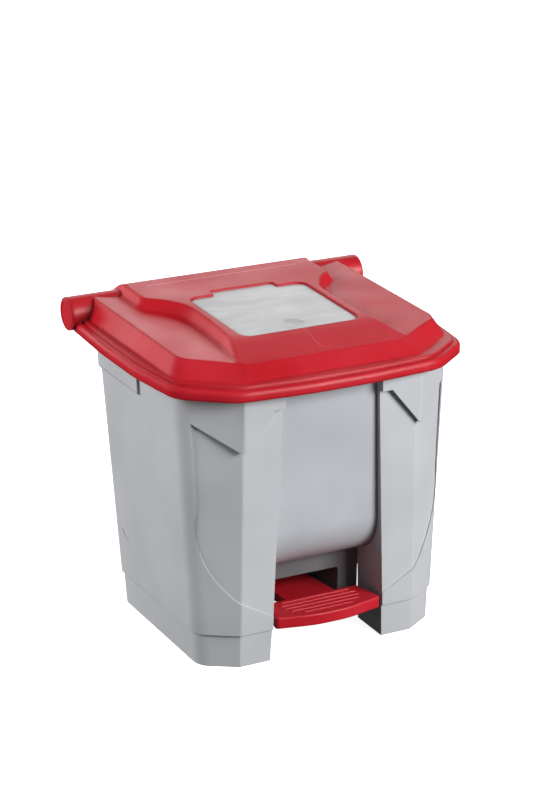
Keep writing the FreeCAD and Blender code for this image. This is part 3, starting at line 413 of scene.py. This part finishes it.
def dress_nodes():
    """Gives every CAD node its slot's material, or its own where it has one."""
    for entry in frame["record"]["subparts"]:
        node = NODES[entry["node"]]
        node.data.materials.clear()
        node.data.materials.append(OWN_MATERIALS.get(entry["node"], MATERIALS[entry["material_slot"]]))


# ---------------------------------------------------------------- rims of the hinge caps


def add_ring_bead(name, points, radius, body, slot):
    """A thin raised bead along a closed path, moulded onto a body."""
    curve = bpy.data.curves.new(name, "CURVE")
    curve.dimensions = "3D"
    curve.bevel_depth = radius
    curve.bevel_resolution = 3
    spline = curve.splines.new("POLY")
    spline.points.add(len(points) - 1)
    for target, point in zip(spline.points, points):
        target.co = (*point, 1.0)
    spline.use_cyclic_u = True
    curve.materials.append(MATERIALS[slot])
    bead = bpy.data.objects.new(name, curve)
    bpy.context.collection.objects.link(bead)
    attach(bead, body)


def add_cap_rim(side, word):
    """The plain rim bead moulded on the outer face of a hinge cap."""
    rim = []
    for angle in range(0, 360, CAP_RIM_STEP):
        turn = math.radians(angle)
        forward = CAP_RIM_RADIUS * math.cos(turn)
        upward = CAP_RIM_RADIUS * math.sin(turn)
        rim.append((side * CAP_FACE, HINGE.y + forward, HINGE.z + upward))
    add_ring_bead(f"cap_rim_{word}", rim, CAP_RIM_BEAD, "lid", "red_plastic")


# ---------------------------------------------------------------- floor, light, camera


def direction(azimuth, elevation):
    """The unit vector from the bin towards a place, with azimuth 0 in front and 90 on the right."""
    a = math.radians(azimuth)
    e = math.radians(elevation)
    return Vector((math.sin(a) * math.cos(e), -math.cos(a) * math.cos(e), math.sin(e)))


def floor_profile():
    """The floor's side view, as y and z: flat, then a quarter circle, then upright."""
    front_of_bend = FLOOR_DEPTH - BACKDROP_BEND
    profile = [(-FLOOR_DEPTH, 0.0), (front_of_bend, 0.0)]
    for k in range(1, BEND_STEPS + 1):
        turn = math.pi / 2 * k / BEND_STEPS
        y = front_of_bend + BACKDROP_BEND * math.sin(turn)
        profile.append((y, BACKDROP_BEND - BACKDROP_BEND * math.cos(turn)))
    profile.append((FLOOR_DEPTH, BACKDROP_HEIGHT))
    return profile


def make_paper():
    """White studio paper with a faint glow of its own."""
    s = Shader("studio_paper")
    s.join(s.mix(s.noise(3.0, 2.0), (0.90, 0.90, 0.90), (0.92, 0.92, 0.92)), s.surface.inputs["Base Color"])
    s.surface.inputs["Roughness"].default_value = 0.9
    s.surface.inputs["Specular IOR Level"].default_value = 0.1
    s.surface.inputs["Emission Color"].default_value = (1, 1, 1, 1)
    s.surface.inputs["Emission Strength"].default_value = FLOOR_GLOW
    return s.material


def make_floor():
    """A pale floor that curves up into a backdrop far behind the bin."""
    mesh = bpy.data.meshes.new("studio_floor")
    profile = floor_profile()
    form = bmesh.new()
    rows = [[form.verts.new((x, y, z)) for y, z in profile] for x in (-FLOOR_HALF_WIDTH, FLOOR_HALF_WIDTH)]
    for k in range(len(profile) - 1):
        form.faces.new((rows[0][k], rows[0][k + 1], rows[1][k + 1], rows[1][k]))
    form.to_mesh(mesh)
    form.free()
    for face in mesh.polygons:
        face.use_smooth = True
    floor = bpy.data.objects.new("studio_floor", mesh)
    floor.rotation_euler.z = math.radians(FLOOR_TURN)
    bpy.context.collection.objects.link(floor)
    mesh.materials.append(make_paper())
    floor.visible_diffuse = False
    floor.visible_glossy = False


def add_panel(name, azimuth, elevation, distance, size, power):
    """A soft rectangular light that faces the bin."""
    data = bpy.data.lights.new(name, "AREA")
    data.shape = "RECTANGLE"
    data.size, data.size_y = size
    data.energy = power
    lamp = bpy.data.objects.new(name, data)
    away = direction(azimuth, elevation)
    lamp.location = LIGHT_AIM + away * distance
    lamp.rotation_euler = (-away).to_track_quat("-Z", "Y").to_euler()
    bpy.context.collection.objects.link(lamp)
    return lamp


def make_air():
    """Pale studio air: brightest from a little above the horizon up, and dim below it."""
    world = bpy.data.worlds.new("studio_air")
    world.use_nodes = True
    nodes = world.node_tree.nodes
    links = world.node_tree.links
    place = nodes.new("ShaderNodeTexCoord")
    parts = nodes.new("ShaderNodeSeparateXYZ")
    links.new(place.outputs["Generated"], parts.inputs["Vector"])
    rise = nodes.new("ShaderNodeMapRange")
    rise.inputs["From Min"].default_value = AIR_DIM_BELOW
    rise.inputs["From Max"].default_value = AIR_FULL_ABOVE
    rise.inputs["To Min"].default_value = AIR_DIM
    rise.inputs["To Max"].default_value = AIR_STRENGTH
    links.new(parts.outputs["Z"], rise.inputs["Value"])
    links.new(rise.outputs["Result"], nodes["Background"].inputs["Strength"])
    nodes["Background"].inputs["Color"].default_value = (1, 1, 1, 1)
    bpy.context.scene.world = world


def make_lights():
    """The air and five panels. The left one is hidden from reflections, where it would wash out the lid."""
    make_air()
    add_panel("overhead_panel", -30, 80, 2.6, (2.4, 2.4), OVERHEAD_POWER)
    add_panel("key_panel", 28, 23, 3.2, (1.6, 1.4), KEY_POWER)
    left = add_panel("left_panel", -112, 18, 3.2, (1.8, 2.0), LEFT_POWER)
    left.visible_glossy = False
    add_panel("rear_panel", 155, 22, 3.0, (2.4, 1.0), REAR_POWER)
    add_panel("rear_fill", 205, 10, 3.2, (2.0, 1.6), FILL_POWER)


def make_camera():
    """A long lens from the front left, a little above the lid."""
    low, high = (Vector(corner) for corner in cad_box)
    aim = (low + high) / 2 + AIM_FROM_CENTRE
    away = direction(CAMERA_AZIMUTH, CAMERA_ELEVATION)
    data = bpy.data.cameras.new("camera")
    data.lens = CAMERA_LENS
    data.sensor_width = SENSOR_WIDTH
    data.clip_start = NEAREST_SEEN
    data.clip_end = FURTHEST_SEEN
    camera = bpy.data.objects.new("camera", data)
    camera.location = aim + away * CAMERA_DISTANCE
    upright = (-away).to_track_quat("-Z", "Y").to_matrix().to_4x4()
    turned = upright @ Matrix.Rotation(math.radians(CAMERA_ROLL), 4, "Z")
    camera.rotation_euler = turned.to_euler()
    bpy.context.collection.objects.link(camera)
    bpy.context.scene.camera = camera


dress_nodes()
add_cap_rim(1, "right")
add_cap_rim(-1, "left")
bpy.context.scene.view_settings.view_transform = "Standard"
make_floor()
make_lights()
make_camera()
